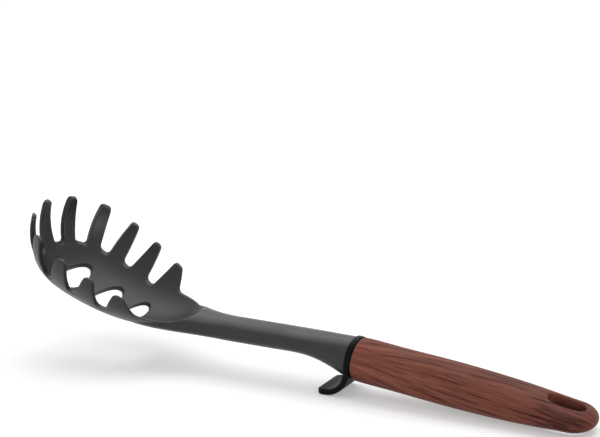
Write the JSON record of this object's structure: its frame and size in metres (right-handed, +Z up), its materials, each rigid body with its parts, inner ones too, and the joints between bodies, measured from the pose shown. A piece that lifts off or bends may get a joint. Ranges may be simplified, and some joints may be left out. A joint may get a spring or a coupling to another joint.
{
  "type": "pasta server",
  "caption": "Pasta server: a slotted bowl edged with long teeth on a slim neck, with a collar whose curved tongue holds it off the table, and an oval grip with a hang slot.",
  "frame": {"origin": "on the table, under the middle of the server's length", "axes": "+X from the toothed bowl towards the end of the grip, +Z up from the table, Y across the width"},
  "size_m": [0.3136, 0.0762, 0.0773],
  "materials": {
    "head_nylon": "fine matte grain",
    "collar_black": "smooth satin gloss",
    "grip_wood_effect": "satin, printed wood grain",
    "core_plastic": "plain moulded",
    "weight_steel": "plain bar"
  },
  "bodies": {
    "root": {"serving_head": "head_nylon", "rest_collar": "collar_black", "grip_core": "core_plastic", "grip_shell": "grip_wood_effect", "balance_weight": "weight_steel"}
  },
  "joints": []
}
